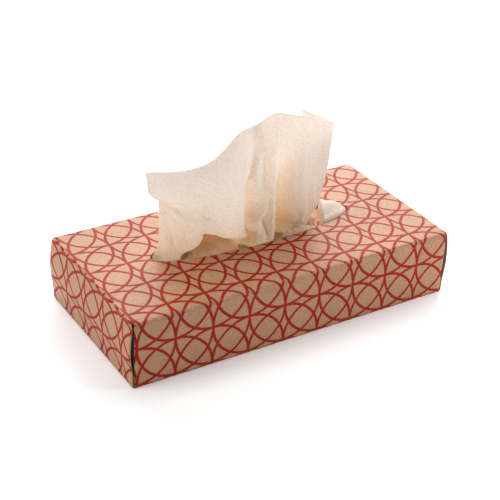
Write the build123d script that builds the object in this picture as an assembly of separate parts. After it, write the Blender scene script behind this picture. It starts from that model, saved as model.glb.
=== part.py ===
# A flat carton of facial tissues with one tissue standing in its slot.
# Millimetres, +Z up, +X along the box. The origin is at the middle of the base.
import os
from math import cos, pi, sin, sqrt

from build123d import *

os.makedirs("parts", exist_ok=True)

# Carton blank: printed kraft board, folded and glued
box_length = 230.0
box_width = 114.0
box_height = 45.0
board = 0.5
crown = 1.2  # rise of the top panel's middle over its edges
top_fold_radius = 2.4
bottom_fold_radius = 1.2
end_fold_radius = 1.4
dust_fold_radius = 1.0
fold_land = 1.0  # flat board beside a crease
seam_gap = 0.3  # height of the back panel's raw edge over the table
glue_flap = 15.0

# End closures: the top panel's flap is outermost, and bows out between its fold and its glue
flap_side_gap = 0.7
flap_foot_gap = 0.8
flap_bow = 1.5
glue_line = 8.0
layer_gap = 0.1
bottom_flap = 38.0
dust_flap = 50.0
dust_taper = 6.0
dust_clearance = 0.6

# Torn-out oval slot
slot_length = 147.0
slot_width = 33.0
slot_shift_x = 1.5
slot_shift_y = 2.5
nib_count = 44
nib_width = 0.9
nib_depth = 0.45

# Folded tissues, sized by the room that the carton leaves them
end_room = 11.0
side_room = 7.0
head_room = 8.0
fold_bundles = 12
fold_bulge = 0.5
ply_body = 0.5  # a soft sheet with the air in its creases
rest_gap = 0.4  # loose lie of one sheet on the next

# Standing tissue: the end of its lower half lies on the stack and folds back over itself at the
# back of the box; the sheet then turns up through the slot in gathers and fans out above
stand_height = 88.0
fold_gap = 1.0
turn_radius = 3.0
# Rows of its standing part, from the free edge down to the slot, left to right: shares of the
# slot's half length, of the slot's half width and of the standing height
stand_shares = [
    [
        (-1.24, -1.61, 0.87), (-1.12, -1.42, 0.84), (-0.97, -1.18, 0.78), (-0.82, -0.97, 0.75),
        (-0.67, -0.82, 0.73), (-0.53, -0.70, 0.74), (-0.39, -0.58, 0.80), (-0.24, -0.39, 0.88),
        (-0.12, -0.15, 0.88), (-0.02, 0.00, 0.87), (0.03, -0.09, 0.90), (0.07, -0.33, 0.95),
        (0.10, -0.55, 0.98), (0.14, -0.76, 0.99), (0.20, -0.91, 0.98), (0.33, -0.94, 0.94),
        (0.48, -0.91, 0.89), (0.66, -0.76, 0.82), (0.69, -0.21, 0.80), (0.62, 0.21, 0.82),
        (0.52, 0.45, 0.86),
    ],
    [
        (-1.19, -1.48, 0.69), (-1.08, -1.39, 0.64), (-0.95, -1.27, 0.57), (-0.81, -1.18, 0.52),
        (-0.67, -1.12, 0.48), (-0.56, -1.12, 0.48), (-0.44, -1.09, 0.50), (-0.32, -0.97, 0.52),
        (-0.20, -0.76, 0.51), (-0.09, -0.39, 0.48), (-0.03, -0.52, 0.52), (0.05, -0.48, 0.53),
        (0.09, -0.67, 0.55), (0.21, -0.42, 0.52), (0.29, -0.67, 0.53), (0.37, -0.85, 0.53),
        (0.48, -0.88, 0.51), (0.63, -0.73, 0.46), (0.68, -0.09, 0.40), (0.63, 0.39, 0.40),
        (0.53, 0.58, 0.44),
    ],
    [
        (-1.05, -0.94, 0.57), (-0.95, -0.79, 0.50), (-0.84, -0.76, 0.43), (-0.73, -0.82, 0.39),
        (-0.63, -0.94, 0.36), (-0.54, -1.09, 0.34), (-0.44, -1.12, 0.33), (-0.33, -1.03, 0.32),
        (-0.21, -0.82, 0.31), (-0.13, -0.55, 0.29), (-0.10, -0.79, 0.34), (0.06, -0.39, 0.30),
        (0.10, -0.73, 0.34), (0.24, -0.21, 0.31), (0.33, -0.48, 0.31), (0.39, -0.76, 0.32),
        (0.47, -0.82, 0.31), (0.60, -0.64, 0.27), (0.65, -0.03, 0.24), (0.61, 0.42, 0.24),
        (0.53, 0.61, 0.27),
    ],
    [
        (-1.01, -0.64, 0.44), (-0.93, -0.64, 0.39), (-0.82, -0.67, 0.33), (-0.72, -0.76, 0.29),
        (-0.63, -0.88, 0.27), (-0.56, -1.00, 0.23), (-0.46, -1.00, 0.18), (-0.33, -0.94, 0.11),
        (-0.20, -0.82, 0.10), (-0.14, -0.58, 0.14), (-0.10, -0.79, 0.19), (0.05, -0.39, 0.15),
        (0.10, -0.79, 0.19), (0.25, -0.09, 0.17), (0.33, -0.39, 0.16), (0.39, -0.67, 0.17),
        (0.46, -0.73, 0.17), (0.57, -0.58, 0.15), (0.61, 0.03, 0.15), (0.58, 0.45, 0.15),
        (0.50, 0.67, 0.17),
    ],
    [
        (-0.95, -0.18, 0.17), (-0.88, -0.36, 0.14), (-0.80, -0.52, 0.11), (-0.69, -0.55, 0.09),
        (-0.60, -0.42, 0.08), (-0.56, -0.06, 0.11), (-0.46, 0.00, 0.10), (-0.31, -0.15, 0.07),
        (-0.17, -0.64, 0.06), (-0.10, -0.33, 0.07), (-0.05, -0.79, 0.09), (0.03, -0.64, 0.08),
        (0.09, -0.88, 0.09), (0.23, 0.03, 0.08), (0.31, -0.24, 0.08), (0.37, -0.58, 0.09),
        (0.44, -0.67, 0.09), (0.54, -0.52, 0.09), (0.57, 0.06, 0.08), (0.54, 0.42, 0.09),
        (0.46, 0.64, 0.09),
    ],
    [
        (-0.93, -0.03, 0.04), (-0.88, -0.18, 0.03), (-0.84, -0.30, 0.02), (-0.78, -0.36, 0.02),
        (-0.72, -0.18, 0.02), (-0.61, 0.33, 0.03), (-0.47, 0.55, 0.03), (-0.31, 0.48, 0.02),
        (-0.16, -0.21, 0.02), (-0.09, -0.09, 0.02), (-0.05, -0.82, 0.02), (0.03, -0.79, 0.02),
        (0.08, -0.90, 0.02), (0.20, -0.15, 0.02), (0.26, 0.09, 0.02), (0.33, -0.15, 0.02),
        (0.39, -0.48, 0.02), (0.47, -0.55, 0.02), (0.52, -0.27, 0.02), (0.54, 0.12, 0.02),
        (0.55, 0.52, 0.02),
    ],
]
near_weight, far_weight = 9 / 16, 1 / 16  # of two points on either side of a smooth line's middle
tail_shares = (0.55, 0.22, 0.0)  # rows of the upper half, from its fold to the turn
tail_power = 3  # how soon the upper half draws in

# Next tissue, on the lower half: it puffs up in front of the gathers, beside
# them and at the slot's right end
front_puff_drop = 0.2  # of the front puff's top under the panel
right_puff_stand = 3.0  # of the right puff over the panel
end_puff_stand = 3.4
front_puff_shares = (-0.40, -0.66, 0.26, 0.62)  # place and reach, across and back
right_puff_shares = (0.34, -0.72, 0.36, 0.20)
end_puff_shares = (0.84, 0.05, 0.24, 0.80)
# Its back edge, left to right, round the gathers
back_edge_shares = [
    (-1.44, 0.58), (-1.14, 0.52), (-0.99, 0.15), (-0.95, -0.18), (-0.89, -0.35), (-0.85, -0.47),
    (-0.78, -0.53), (-0.71, -0.38), (-0.62, 0.04), (-0.48, 0.35), (-0.32, 0.31), (-0.22, -0.12),
    (-0.16, -0.42), (-0.12, -0.39), (-0.09, -0.93), (-0.02, -1.18), (0.10, -1.18), (0.16, -0.94),
    (0.25, -0.70), (0.39, -0.67), (0.48, -0.72), (0.55, -0.61), (0.61, 0.09), (0.74, 0.65),
    (1.10, 0.70), (1.39, 0.52),
]
next_columns = 48
next_rows = 14
row_power = 0.6  # under 1 to bring the rows together near the slot
climb_length = 6.0  # where it climbs onto the standing sheet's tail
climb_lead = 2.0

overrun = 5.0  # how far a cutter runs past the board

half_length = box_length / 2
half_width = box_width / 2
tissue_length = box_length - 2 * end_room
fold_depth = box_width - 2 * side_room
stack_top = box_height - board - head_room
# What the standing height, the slot and the way back to the fold leave of the sheet's length
inside_length = 2 * fold_depth - stand_height - (box_height - stack_top)
tail_length = inside_length - (fold_depth / 2 - slot_shift_y)
tail_front = fold_depth / 2 - tail_length


def board_strip(points, radius):
    """Closed outline of folded board whose outer face follows the points."""
    line = FilletPolyline(*points, radius=radius)
    return make_face(offset(line, amount=board, side=Side.LEFT, closed=True))


def along_x(outline, x_from, x_to):
    return extrude(Plane.YZ.offset(x_from) * outline, amount=x_to - x_from)


def across_y(outline, width):
    return extrude(Plane.XZ * outline, amount=width / 2, both=True)


def panel_edge(z_edge, rise, half_span):
    """Straight or crowned edge across the top panel."""
    return Spline((-half_span, z_edge), (0, z_edge + rise), (half_span, z_edge))


def top_panel():
    half_span = half_width - top_fold_radius - fold_land
    x_end = half_length - end_fold_radius - fold_land
    sections = []
    for x, rise in ((-x_end, 0), (0, crown), (x_end, 0)):
        upper = panel_edge(box_height, rise, half_span)
        lower = panel_edge(box_height - board, rise, half_span)
        sides = [Line(upper @ 0, lower @ 0), Line(upper @ 1, lower @ 1)]
        sections.append(Plane.YZ.offset(x) * make_face(Curve() + [upper, lower, *sides]))
    return loft(sections)


def sleeve():
    """Front, bottom and back panels with the lands of the top panel and the glued seam."""
    land = half_width - top_fold_radius - fold_land
    seam = half_width - glue_flap
    front = [(-land, box_height), (-half_width, box_height), (-half_width, 0), (seam, 0)]
    front_radii = [top_fold_radius, bottom_fold_radius]
    back = [(half_width, seam_gap), (half_width, box_height), (land, box_height)]
    inner = half_width - board
    glued = [(seam, 0), (inner, 0), (inner, glue_flap)]
    x_end = half_length - end_fold_radius - fold_land
    outlines = [
        board_strip(front, front_radii),
        board_strip(back, top_fold_radius),
        board_strip(glued, bottom_fold_radius),
    ]
    walls = Part() + [along_x(outline, -x_end, x_end) for outline in outlines]
    wall_end = half_length - 2 * board - layer_gap - dust_fold_radius - fold_land
    gap_height = box_height - 2 * board
    for side in (-1, 1):
        cutter = Box(2 * overrun, box_width + overrun, gap_height)
        walls -= Pos(side * (wall_end + overrun), 0, box_height / 2) * cutter
    return walls


def outer_flap():
    """End flap hinged on the top panel: a fold, a bowed face and a straight glued foot."""
    x_in = half_length - end_fold_radius - fold_land
    z_land = box_height - end_fold_radius - fold_land
    fold = [(-x_in, box_height), (-half_length, box_height), (-half_length, z_land)]
    z_mid = (z_land + glue_line) / 2
    faces = []
    for inset in (0, board):
        x = inset - half_length
        faces.append(ThreePointArc((x, z_land), (x - flap_bow, z_mid), (x, glue_line)))
    caps = [Line(faces[0] @ k, faces[1] @ k) for k in (0, 1)]
    bowed = make_face(Curve() + [*faces, *caps])
    foot_height = glue_line - flap_foot_gap
    foot_place = Pos(board / 2 - half_length, flap_foot_gap + foot_height / 2)
    foot = foot_place * Rectangle(board, foot_height)
    width = box_width - 2 * flap_side_gap
    return Part() + [across_y(outline, width) for outline in (board_strip(fold, end_fold_radius), bowed, foot)]


def inner_flap():
    """End flap hinged on the bottom panel, behind the outer one."""
    x_fold = half_length - board
    x_in = half_length - end_fold_radius - fold_land
    outline = board_strip([(-x_fold, bottom_flap), (-x_fold, 0), (-x_in + fold_land, 0)], bottom_fold_radius)
    return across_y(outline, box_width - 2 * flap_side_gap)


def dust_flap_at(side):
    """End flap hinged on the front (side -1) or back (side 1) panel, tapered to its free edge."""
    x_fold = half_length - 2 * board - layer_gap
    y_land = half_width - dust_fold_radius - fold_land
    x_in = x_fold - dust_fold_radius - fold_land
    points = [(-x_in, -half_width), (-x_fold, -half_width), (-x_fold, -y_land)]
    line = FilletPolyline(*points, radius=dust_fold_radius)
    outline = make_face(offset(line, amount=board, side=Side.RIGHT, closed=True))
    z_low = board + dust_clearance
    z_high = box_height - board - dust_clearance
    fold = extrude(Plane.XY.offset(z_low) * outline, amount=z_high - z_low)
    y_tip = half_width - dust_flap
    corners = [(-y_land, z_low), (-y_land, z_high), (-y_tip, z_high - dust_taper), (-y_tip, z_low + dust_taper)]
    plate = along_x(make_face(Polyline(*corners, close=True)), -x_fold, board - x_fold)
    flap = Part() + [fold, plate]
    return flap if side < 0 else mirror(flap, about=Plane.XZ)


def slot_outline():
    """Oval with the nibs that its perforation leaves standing."""
    a, b = slot_length / 2, slot_width / 2
    outline = Ellipse(a, b)
    for k in range(nib_count):
        turn = 2 * pi * k / nib_count
        normal = Vector(cos(turn) / a, sin(turn) / b)
        place = Pos(a * cos(turn), b * sin(turn)) * Rot(0, 0, Vector(1, 0).get_signed_angle(normal))
        outline -= place * Rectangle(2 * nib_depth, nib_width)
    return Pos(slot_shift_x, slot_shift_y) * outline


def carton():
    end = Part() + [outer_flap(), inner_flap(), dust_flap_at(-1), dust_flap_at(1)]
    shell = Part() + [top_panel(), sleeve(), end, mirror(end, about=Plane.YZ)]
    depth = 2 * (crown + overrun)
    return shell - extrude(Plane.XY.offset(box_height) * slot_outline(), amount=depth / 2, both=True)


def tissue_stack():
    """Folded tissues pressed together: their folds make soft ridges down both long sides."""
    half = fold_depth / 2 - fold_bulge
    pitch = (stack_top - board) / fold_bundles
    edges = [Line((-half, board), (half, board))]
    for k in range(fold_bundles):
        low = board + k * pitch
        edges.append(ThreePointArc((half, low), (half + fold_bulge, low + pitch / 2), (half, low + pitch)))
    edges.append(Line((half, stack_top), (-half, stack_top)))
    for k in reversed(range(fold_bundles)):
        low = board + k * pitch
        edges.append(ThreePointArc((-half, low + pitch), (-half - fold_bulge, low + pitch / 2), (-half, low)))
    return along_x(make_face(Curve() + edges), -tissue_length / 2, tissue_length / 2)


def slot_point(across, back):
    return (slot_shift_x + across * slot_length / 2, slot_shift_y + back * slot_width / 2)


def sheet(rows):
    """Closed solid of a soft sheet whose middle passes through a grid of points."""
    rows = [[Vector(point) for point in row] for row in rows]
    last_row, last_column = len(rows) - 1, len(rows[0]) - 1
    sides = ([], [])
    for r, row in enumerate(rows):
        for side in sides:
            side.append([])
        for c, point in enumerate(row):
            along = row[min(c + 1, last_column)] - row[max(c - 1, 0)]
            up = rows[min(r + 1, last_row)][c] - rows[max(r - 1, 0)][c]
            half = along.cross(up).normalized() * (ply_body / 2)
            sides[0][r].append(point - half)
            sides[1][r].append(point + half)
    corners = []
    for side in sides:
        for r in range(last_row):
            for c in range(last_column):
                a, b = side[r][c], side[r][c + 1]
                d, e = side[r + 1][c], side[r + 1][c + 1]
                corners += [(a, b, e), (a, e, d)]
    rim = [(0, c) for c in range(last_column)] + [(r, last_column) for r in range(last_row)]
    rim += [(last_row, last_column - c) for c in range(last_column)]
    rim += [(last_row - r, 0) for r in range(last_row)]
    for k, (r, c) in enumerate(rim):
        p, q = rim[(k + 1) % len(rim)]
        a, b = sides[0][r][c], sides[0][p][q]
        d, e = sides[1][r][c], sides[1][p][q]
        corners += [(a, b, e), (a, e, d)]
    return Solid(Shell([Face(Wire.make_polygon(points)) for points in corners]))


def halved(line):
    """The same smooth line of points with one more in the middle of each span."""
    run = [line[0] * 2 - line[1], *line, line[-1] * 2 - line[-2]]
    finer = [line[0]]
    for before, start, end, after in zip(run, run[1:], run[2:], run[3:]):
        finer += [(start + end) * near_weight - (before + after) * far_weight, end]
    return finer


def pulled_tissue():
    """One sheet: its lower half on the stack, its fold, its gathers in the slot and its fan."""
    x_half, y_half = tissue_length / 2, fold_depth / 2
    low = stack_top + ply_body / 2
    high = low + fold_gap
    stand = []
    for shares in stand_shares:
        row = []
        for across, back, height in shares:
            row.append(Vector(*slot_point(across, back), box_height + height * stand_height))
        stand.append(halved(row))
    stand = list(zip(*[halved(column) for column in zip(*stand)]))
    gathers = [(point.X, point.Y) for point in stand[-1]]
    last = len(gathers) - 1

    def tail_row(y, z):
        return [(x_half * (2 * k / last - 1), y, z) for k in range(last + 1)]

    rows = [tail_row(tail_front, low), tail_row(y_half - fold_gap, low)]
    rows += [tail_row(y_half, (low + high) / 2), tail_row(y_half - fold_gap, high)]
    for reach in tail_shares:
        row = []
        for k, (x, y) in enumerate(gathers):
            x_away = x_half * (2 * k / last - 1) - x
            y_away = y_half - fold_gap - y - turn_radius
            row.append((x + x_away * reach ** tail_power, y + turn_radius + y_away * reach, high))
        rows.append(row)
    corner = turn_radius * (1 - sqrt(1 / 2))
    rows.append([(x, y + corner, high + corner) for x, y in gathers])
    rows.append([(x, y, high + turn_radius) for x, y in gathers])
    return sheet(rows + stand[::-1])


def between(x, line):
    """Height of a line of points at x."""
    for (x_low, y_low), (x_high, y_high) in zip(line, line[1:]):
        if x <= x_high:
            return y_low + (y_high - y_low) * (x - x_low) / (x_high - x_low)
    return line[-1][1]


def puff(x, y, across, back, reach_across, reach_back):
    """Height share of a soft swelling: 1 in its middle and 0 outside its reach."""
    x_mid, y_mid = slot_point(across, back)
    u = 2 * (x - x_mid) / slot_length / reach_across
    v = 2 * (y - y_mid) / slot_width / reach_back
    return 0 if max(abs(u), abs(v)) >= 1 else (cos(pi / 2 * u) * cos(pi / 2 * v)) ** 2


def next_tissue():
    """Upper half of the next sheet, in front of the gathers and round them."""
    low = stack_top + ply_body / 2
    over_tail = ply_body + rest_gap
    climb_start = tail_front - climb_lead - climb_length
    front_rise = box_height - front_puff_drop - low - over_tail
    right_rise = box_height + right_puff_stand - low - over_tail
    end_rise = box_height + end_puff_stand - low - over_tail
    y_front = -fold_depth / 2
    back_edge = [slot_point(*shares) for shares in back_edge_shares]
    rows = []
    for r in range(next_rows + 1):
        row = []
        for c in range(next_columns + 1):
            x = tissue_length * (c / next_columns - 1 / 2)
            y = y_front + (between(x, back_edge) - y_front) * (r / next_rows) ** row_power
            rise = front_rise * puff(x, y, *front_puff_shares)
            rise = max(rise, right_rise * puff(x, y, *right_puff_shares))
            rise = max(rise, end_rise * puff(x, y, *end_puff_shares))
            climb = min(max((y - climb_start) / climb_length, 0), 1)
            row.append((x, y, low + over_tail * climb + rise))
        rows.append(row)
    return sheet(rows)


for make in (carton, tissue_stack, pulled_tissue, next_tissue):
    export_step(make(), "parts/" + make.__name__ + ".step")
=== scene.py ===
import math
import bmesh
import bpy
import numpy as np
from mathutils import Matrix, Vector


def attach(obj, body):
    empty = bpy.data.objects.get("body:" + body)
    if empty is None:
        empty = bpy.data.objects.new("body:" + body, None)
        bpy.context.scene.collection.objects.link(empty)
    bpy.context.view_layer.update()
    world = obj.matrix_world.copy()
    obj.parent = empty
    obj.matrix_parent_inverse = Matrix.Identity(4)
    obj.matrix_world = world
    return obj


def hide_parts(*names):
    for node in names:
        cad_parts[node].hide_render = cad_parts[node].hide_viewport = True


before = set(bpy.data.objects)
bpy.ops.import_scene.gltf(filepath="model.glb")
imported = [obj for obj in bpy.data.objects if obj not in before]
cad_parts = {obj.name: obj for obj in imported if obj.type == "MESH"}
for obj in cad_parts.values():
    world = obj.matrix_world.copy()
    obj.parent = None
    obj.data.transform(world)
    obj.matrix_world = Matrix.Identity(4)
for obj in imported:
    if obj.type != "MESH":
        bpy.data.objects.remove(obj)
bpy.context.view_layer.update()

mm = 0.001
print("frame loaded")


def srgb(hexColour):
    parts = [int(hexColour[k:k + 2], 16) / 255 for k in (0, 2, 4)]
    return tuple(c / 12.92 if c <= 0.04045 else ((c + 0.055) / 1.055) ** 2.4 for c in parts) + (1.0,)


def addNode(tree, kind, settings=None, **inputs):
    # an input is a value or the socket that feeds it; names with _ stand for spaces, i0 for the first socket
    node = tree.nodes.new(kind)
    for name, value in (settings or {}).items():
        setattr(node, name, value)
    for name, value in inputs.items():
        isNumber = name[0] == "i" and name[1:].isdigit()
        socket = node.inputs[int(name[1:])] if isNumber else node.inputs[name.replace("_", " ")]
        if isinstance(value, bpy.types.NodeSocket):
            tree.links.new(value, socket)
        else:
            socket.default_value = value
    return node


def newMaterial(name):
    material = bpy.data.materials.new(name)
    material.use_nodes = True
    material.node_tree.nodes.clear()
    return material, material.node_tree


kraftPrint = {
    "kraft": "B58A69",        # unbleached board, outer side
    "kraftDark": "A87C5B",    # its long fibres
    "kraftPale": "C1997B",    # its short ones, and where the print is rubbed off
    "inner": "A88A66",        # unprinted inner side
    "edge": "93734F",
    # painted shade: the board seen in the slits is drawn dark to stand for the shadow there
    "slitShade": "4A3828",       # the board in the slits at the ends, darkened: real ones look black
    "ink": "920906",          # red flexo ink, a little soaked in
    "inkThin": "9E120D",
    "lineWidth": 1.9,         # mm
    "lineWander": 0.14,       # share of it by which the ink spreads or draws back
    "lineEdge": (0.82, 1.12),              # where the ink fades out, in half line widths
    "pitch": 25.37,                        # mm between the centres of the circles
    "outerFibres": (480, 1000, 1000),      # per metre: 2 mm long
    "innerFibres": (300, 1000, 1000),      # 3 mm long
    "edgeFibres": (900, 900, 3000),
}


def ringLines(tree, uv, halfWidth):
    # circles with a radius of one pitch round every point of a square lattice, drawn in a quarter of its cell
    place = uv
    for operation, by in (("FRACTION", {}), ("SUBTRACT", {"i1": (0.5, 0.5, 0)}), ("ABSOLUTE", {})):
        place = addNode(tree, "ShaderNodeVectorMath", {"operation": operation}, i0=place, **by).outputs[0]
    place = addNode(tree, "ShaderNodeVectorMath", {"operation": "SUBTRACT"}, i0=(0.5, 0.5, 0),
                    i1=place).outputs[0]
    place = addNode(tree, "ShaderNodeVectorMath", {"operation": "MULTIPLY"}, i0=place, i1=(1, 1, 0)).outputs[0]
    nearest = None
    for centre in ((1, 0, 0), (0, 1, 0), (1, 1, 0), (-1, 0, 0), (0, -1, 0)):
        away = addNode(tree, "ShaderNodeVectorMath", {"operation": "DISTANCE"}, i0=place,
                       i1=centre).outputs["Value"]
        off = addNode(tree, "ShaderNodeMath", {"operation": "SUBTRACT"}, i0=away, i1=1.0).outputs[0]
        off = addNode(tree, "ShaderNodeMath", {"operation": "ABSOLUTE"}, i0=off).outputs[0]
        if nearest is not None:
            off = addNode(tree, "ShaderNodeMath", {"operation": "MINIMUM"}, i0=nearest, i1=off).outputs[0]
        nearest = off
    edges = []
    for share in kraftPrint["lineEdge"]:
        edge = addNode(tree, "ShaderNodeMath", {"operation": "MULTIPLY"}, i0=halfWidth, i1=share)
        edges.append(edge.outputs[0])
    return addNode(tree, "ShaderNodeMapRange", {"interpolation_type": "SMOOTHSTEP"}, Value=nearest,
                   From_Min=edges[0], From_Max=edges[1], To_Min=1.0, To_Max=0.0).outputs[0]


def printedKraftBoard():
    # flexo-printed unbleached board: matt fibrous brown, with flat red ink that lets some fibre through
    k = kraftPrint
    material, tree = newMaterial("printedKraftBoard")
    uv = addNode(tree, "ShaderNodeUVMap", {"uv_map": "printMap"}).outputs[0]
    place = addNode(tree, "ShaderNodeTexCoord").outputs["Object"]
    grain = addNode(tree, "ShaderNodeMapping", Vector=place, Scale=k["outerFibres"]).outputs[0]
    noise = {}
    for part, vector, scale, detail, rough in (
            ("fibres", grain, 1.0, 4.0, 0.62), ("cloud", place, 55.0, 3.0, 0.5),
            ("wander", place, 420.0, 2.0, 0.5), ("crack", place, 900.0, 2.0, 0.7)):
        noise[part] = addNode(tree, "ShaderNodeTexNoise", Vector=vector, Scale=scale, Detail=detail,
                              Roughness=rough).outputs["Fac"]
    ramp = addNode(tree, "ShaderNodeValToRGB", Fac=noise["fibres"])
    stops = ramp.color_ramp.elements
    stops.new(0.48)
    for stop, position, tone in ((0, 0.30, "kraftDark"), (1, 0.48, "kraft"), (2, 0.70, "kraftPale")):
        stops[stop].position = position
        stops[stop].color = srgb(k[tone])
    shade = addNode(tree, "ShaderNodeMapRange", Value=noise["cloud"], From_Min=0.3, From_Max=0.7,
                    To_Min=0.86, To_Max=1.08).outputs[0]
    board = addNode(tree, "ShaderNodeMix", {"data_type": "RGBA", "blend_type": "MULTIPLY"}, i0=0.25,
                    i6=ramp.outputs[0], i7=shade).outputs[2]
    halfWidth = k["lineWidth"] / k["pitch"] / 2
    width = addNode(tree, "ShaderNodeMapRange", Value=noise["wander"], From_Min=0.25, From_Max=0.75,
                    To_Min=halfWidth * (1 - k["lineWander"]),
                    To_Max=halfWidth * (1 + k["lineWander"])).outputs[0]
    lines = ringLines(tree, uv, width)
    inkCover = addNode(tree, "ShaderNodeMapRange", Value=noise["fibres"], From_Min=0.28, From_Max=0.75,
                       To_Min=1.0, To_Max=0.93).outputs[0]
    fold = addNode(tree, "ShaderNodeAttribute", {"attribute_name": "foldWear"}).outputs["Fac"]
    rubbed = addNode(tree, "ShaderNodeMapRange", Value=noise["crack"], From_Min=0.52, From_Max=0.66,
                     To_Min=0.0, To_Max=0.75).outputs[0]
    rubbed = addNode(tree, "ShaderNodeMath", {"operation": "MULTIPLY"}, i0=rubbed, i1=fold).outputs[0]
    kept = addNode(tree, "ShaderNodeMath", {"operation": "SUBTRACT"}, i0=1.0, i1=rubbed).outputs[0]
    cover = addNode(tree, "ShaderNodeMath", {"operation": "MULTIPLY"}, i0=lines, i1=inkCover).outputs[0]
    cover = addNode(tree, "ShaderNodeMath", {"operation": "MULTIPLY"}, i0=cover, i1=kept).outputs[0]
    ink = addNode(tree, "ShaderNodeMix", {"data_type": "RGBA"}, i0=noise["cloud"], i6=srgb(k["ink"]),
                  i7=srgb(k["inkThin"])).outputs[2]
    bare = addNode(tree, "ShaderNodeMath", {"operation": "MULTIPLY"}, i0=rubbed, i1=0.5).outputs[0]
    worn = addNode(tree, "ShaderNodeMix", {"data_type": "RGBA"}, i0=bare, i6=board,
                   i7=srgb(k["kraftPale"])).outputs[2]
    colour = addNode(tree, "ShaderNodeMix", {"data_type": "RGBA"}, i0=cover, i6=worn, i7=ink).outputs[2]
    rough = addNode(tree, "ShaderNodeMapRange", Value=cover, To_Min=0.44, To_Max=0.54).outputs[0]
    bump = addNode(tree, "ShaderNodeBump", Strength=0.07, Distance=0.0001, Height=noise["fibres"]).outputs[0]
    shader = addNode(tree, "ShaderNodeBsdfPrincipled", Base_Color=colour, Roughness=rough, IOR=1.47,
                     Specular_IOR_Level=0.11, Normal=bump)
    addNode(tree, "ShaderNodeOutputMaterial", Surface=shader.outputs[0])
    return material


def plainKraftBoard(name, hexColour, fibreScale):
    # the same board without print: matt, with felted fibres
    material, tree = newMaterial(name)
    place = addNode(tree, "ShaderNodeTexCoord").outputs["Object"]
    grain = addNode(tree, "ShaderNodeMapping", Vector=place, Scale=fibreScale).outputs[0]
    fibres = addNode(tree, "ShaderNodeTexNoise", Vector=grain, Scale=1.0, Detail=4.0,
                     Roughness=0.6).outputs["Fac"]
    shade = addNode(tree, "ShaderNodeMapRange", Value=fibres, From_Min=0.3, From_Max=0.7,
                    To_Min=0.82, To_Max=1.14).outputs[0]
    colour = addNode(tree, "ShaderNodeVectorMath", {"operation": "SCALE"}, i0=srgb(hexColour)[:3],
                     Scale=shade).outputs[0]
    bump = addNode(tree, "ShaderNodeBump", Strength=0.35, Distance=0.0002, Height=fibres).outputs[0]
    shader = addNode(tree, "ShaderNodeBsdfPrincipled", Base_Color=colour, Roughness=0.85,
                     Specular_IOR_Level=0.25, Normal=bump)
    addNode(tree, "ShaderNodeOutputMaterial", Surface=shader.outputs[0])
    return material


tissueLook = {
    "paper": "F8F4EF",       # unbleached bamboo-and-pulp tissue
    "deep": "F5EBE1",        # what the light picks up as it passes through two or more plies
    "fleck": "B98F63",
    "through": 0.52,         # share of the light that goes through a sheet that stands free
    "throughLying": 0.28,    # and through one that lies on others
    "fold": "F6DCB4",        # painted shade: warm, darker tint painted deep in a fold, in place of the light that passes between its plies
    "foldLying": "F5C89D",   # the same painted shade inside the slot
    "paintedShadeStrength": 0.38,       # how much of that painted shade shows
    "paintedShadeStrengthLying": 1.0,
    "crepePitch": 0.9,       # mm, drawn three times as coarse as real crepe so that it shows
    "crepeStretch": 0.16,    # crepe lines run across the sheet, six times as long as they are apart
}


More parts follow.
